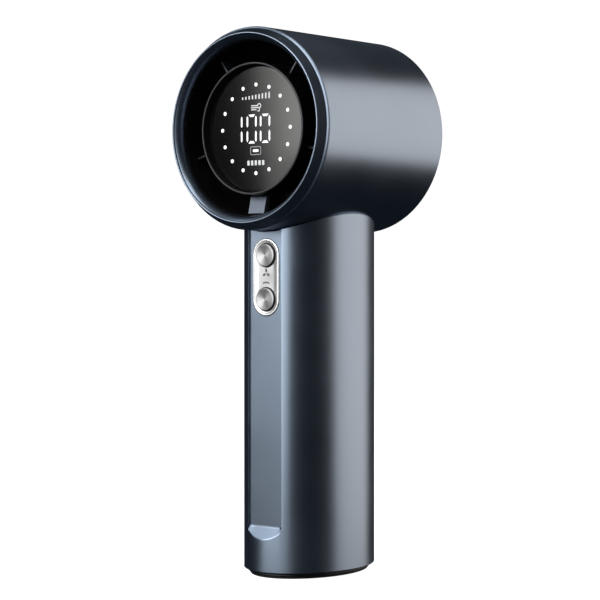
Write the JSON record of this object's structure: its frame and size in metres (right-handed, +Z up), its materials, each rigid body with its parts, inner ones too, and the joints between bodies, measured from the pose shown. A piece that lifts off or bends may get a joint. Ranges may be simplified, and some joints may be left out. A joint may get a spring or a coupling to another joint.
{
  "type": "car dryer blower",
  "caption": "Hand-held jet blower: round head with ring intake and lit display, oval battery grip, push buttons, round outlet.",
  "frame": {"origin": "centre of the handle's oval on the flat foot that the blower stands on", "axes": "+Z up the handle, +Y along the head towards the outlet, so the display and the buttons face -Y"},
  "size_m": [0.06, 0.0596, 0.1632],
  "materials": {
    "anodised_shell": "satin anodised",
    "polished_metal": "polished",
    "silver_plate": "satin",
    "spun_metal": "spun",
    "steel": "machined",
    "duct_plastic": "matte",
    "trim_plastic": "satin",
    "smoked_lens": "gloss",
    "lit_symbol": "lit",
    "strut_metal": "satin",
    "base_plastic": "matte",
    "foot_rubber": "matte",
    "isolator_rubber": "matte",
    "fan_plastic": "matte",
    "frame_plastic": "matte",
    "circuit_board": "solder mask",
    "component_black": "matte",
    "white_plastic": "matte",
    "copper": "enamelled",
    "magnet": "plated",
    "lamination": "stacked",
    "cell_wrap": "shrink sleeve",
    "nickel": "plated",
    "icon_print": "printed",
    "wire_sleeve": "smooth",
    "ribbon_film": "polyimide film"
  },
  "bodies": {
    "casing": {"head_shell": "anodised_shell", "intake_bezel": "anodised_shell", "outlet_ring": "trim_plastic", "intake_spider": "duct_plastic", "strut_cover": "strut_metal", "display_trim": "trim_plastic", "display_lens": "smoked_lens", "display_symbols": "lit_symbol", "light_mask": "component_black", "display_board": "circuit_board", "display_leds": "white_plastic", "pod_tail": "duct_plastic", "fan_housing": "fan_plastic", "motor_cap": "steel", "bearing_outer_races": "steel", "bearing_balls": "steel", "stator_core": "lamination", "stator_coils": "copper", "rear_isolator": "isolator_rubber", "front_isolator": "isolator_rubber", "outlet_guard": "fan_plastic", "handle_shell": "anodised_shell", "button_bezel": "polished_metal", "button_plate": "silver_plate", "button_icons": "icon_print", "button_board": "circuit_board", "tact_switches": "component_black", "chassis": "frame_plastic", "front_cell": "cell_wrap", "rear_cell": "cell_wrap", "cell_tabs": "nickel", "neck_bracket": "frame_plastic", "neck_screws": "steel", "chassis_studs": "steel", "base_cap": "base_plastic", "foot_pad": "foot_rubber", "base_screws": "steel", "charge_board": "circuit_board", "usb_shell": "nickel", "usb_tongue": "component_black", "control_board": "circuit_board", "control_components": "component_black", "motor_leads": "wire_sleeve", "display_ribbon": "ribbon_film", "button_ribbon": "ribbon_film", "battery_leads": "wire_sleeve", "charge_leads": "wire_sleeve"},
    "rotor": {"impeller": "fan_plastic", "motor_shaft": "steel", "rotor_magnet": "magnet", "bearing_inner_races": "steel"},
    "upper_button": {"upper_button": "spun_metal"},
    "lower_button": {"lower_button": "spun_metal"}
  },
  "joints": [
    {"name": "rotor_spin", "type": "hinge", "parent": "casing", "child": "rotor", "pos_m": [0, 0.005, 0.1332], "axis": [0, 1, 0], "continuous": true},
    {"name": "upper_press", "type": "slide", "parent": "casing", "child": "upper_button", "axis": [0, 1, 0], "range_m": [0, 0.0006], "stiffness_N_per_m": 1500},
    {"name": "lower_press", "type": "slide", "parent": "casing", "child": "lower_button", "axis": [0, 1, 0], "range_m": [0, 0.0006], "stiffness_N_per_m": 1500}
  ]
}
